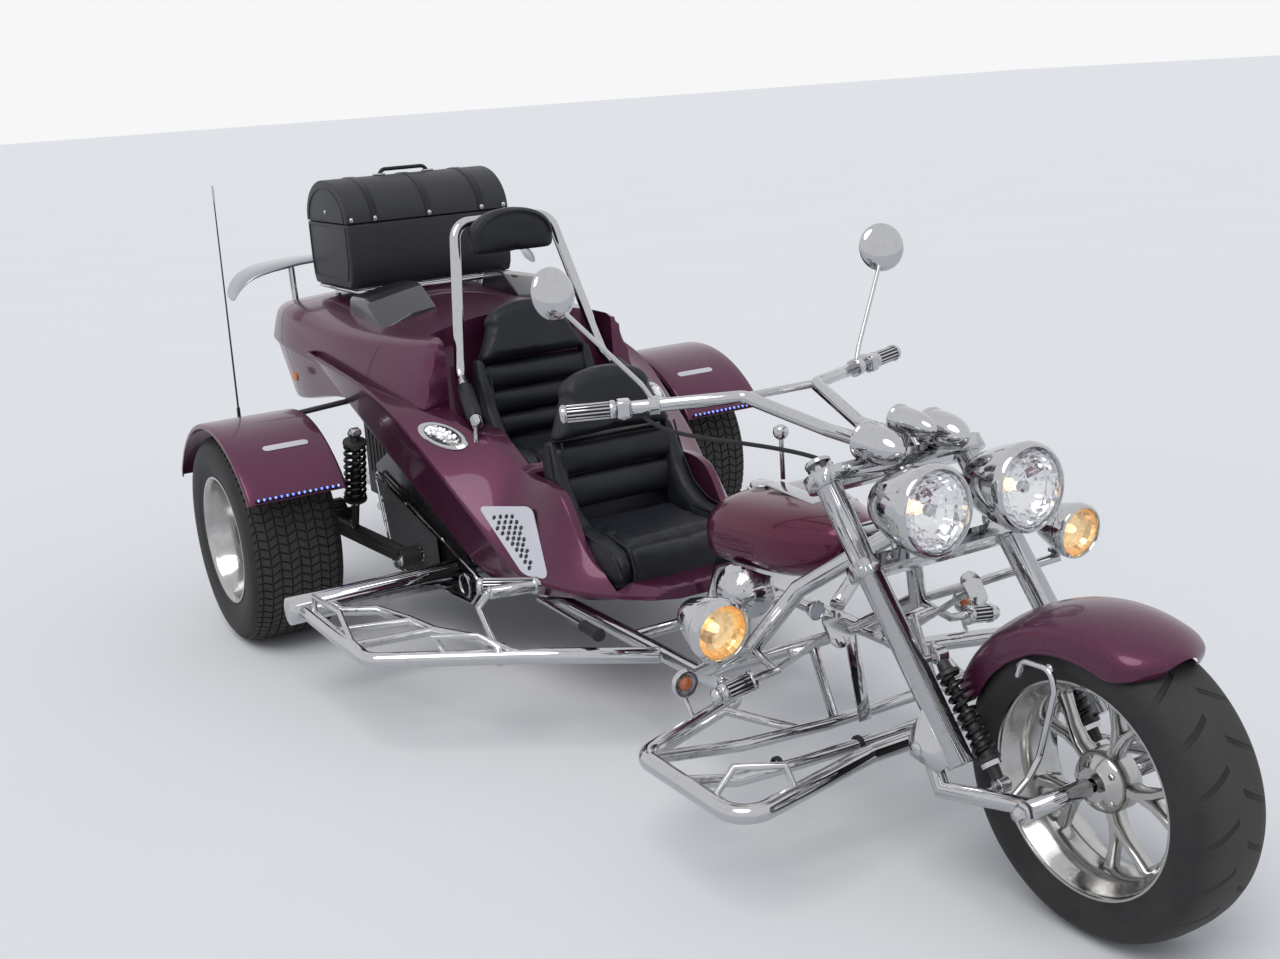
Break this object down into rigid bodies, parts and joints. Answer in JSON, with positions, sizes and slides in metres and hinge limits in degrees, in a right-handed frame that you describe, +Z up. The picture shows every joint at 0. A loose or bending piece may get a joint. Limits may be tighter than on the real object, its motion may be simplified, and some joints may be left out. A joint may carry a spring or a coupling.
{
  "type": "motorized trike",
  "caption": "Three-wheeled motor trike with raked fork, tandem seats, tubular foot bars, rear body with opening trunk and wide rear tyres.",
  "frame": {"origin": "on the ground, in the middle of the overall length and width", "axes": "+X forward along the trike, +Y to its left, +Z up"},
  "size_m": [3.8884, 1.856, 1.4483],
  "materials": {
    "black_gloss": "gloss black with mesh",
    "black_rubber": "matt",
    "black_steel": "satin black",
    "body_paint": "plum metallic clear coat with fine flake",
    "chrome": "polished",
    "engine_metal": "dull",
    "grey_rim": "satin grey with polished lip",
    "polished_rim": "polished",
    "scoop_grey": "dark grey",
    "seat_leather": "smooth black hide with piping",
    "spoiler_silver": "silver grey",
    "trunk_hide": "matt black grained hide",
    "tyre": "matt rubber",
    "vent_white": "silver white"
  },
  "bodies": {
    "chassis": {"air_scoops": "scoop_grey", "antenna": "black_rubber", "body_shell": "body_paint", "control_levers": "chrome", "engine_block": "engine_metal", "exhausts": "chrome", "fog_lamps": "chrome", "foot_pegs": "chrome", "fuel_cap": "chrome", "fuel_tank": "body_paint", "highway_bars": "chrome", "hoop_pads": "seat_leather", "horn_cover": "chrome", "luggage_rack": "chrome", "main_frame": "chrome", "marker_lamps": "chrome", "passenger_hoop": "chrome", "passenger_seat": "seat_leather", "rear_axle": "black_steel", "rear_fenders": "body_paint", "rear_shocks": "black_steel", "rear_spoiler": "spoiler_silver", "rider_seat": "seat_leather", "running_boards": "chrome", "side_panels": "black_gloss", "tail_panel": "body_paint", "trunk_box": "trunk_hide", "vent_inserts": "vent_white"},
    "fork": {"fork_legs": "chrome", "front_swing_arms": "chrome", "front_shocks": "black_steel", "front_fender": "body_paint", "headlights": "chrome", "gauge_pods": "chrome", "handlebar": "chrome", "bar_grips": "chrome", "mirrors": "chrome", "throttle_cable": "black_rubber"},
    "front_wheel": {"front_tyre": "tyre", "front_rim": "polished_rim"},
    "rear_wheel_right": {"rear_tyre_right": "tyre", "rear_rim_right": "grey_rim"},
    "rear_wheel_left": {"rear_tyre_left": "tyre", "rear_rim_left": "grey_rim"},
    "trunk_lid": {"trunk_lid": "trunk_hide"}
  },
  "joints": [
    {"name": "steering", "type": "hinge", "parent": "chassis", "child": "fork", "pos_m": [0.96975, 0, 0.9], "axis": [-0.628, 0, 0.7782], "range_deg": [-30, 30]},
    {"name": "front_wheel_spin", "type": "hinge", "parent": "fork", "child": "front_wheel", "pos_m": [1.63275, 0, 0.3115], "axis": [0, 1, 0], "continuous": true},
    {"name": "rear_wheel_right_spin", "type": "hinge", "parent": "chassis", "child": "rear_wheel_right", "pos_m": [-1.22425, -0.768, 0.34], "axis": [0, 1, 0], "continuous": true},
    {"name": "rear_wheel_left_spin", "type": "hinge", "parent": "chassis", "child": "rear_wheel_left", "pos_m": [-1.22425, 0.768, 0.34], "axis": [0, 1, 0], "continuous": true},
    {"name": "trunk_lid_hinge", "type": "hinge", "parent": "chassis", "child": "trunk_lid", "pos_m": [-1.83125, 0, 1.274], "axis": [0, -1, 0], "range_deg": [0, 75]}
  ]
}
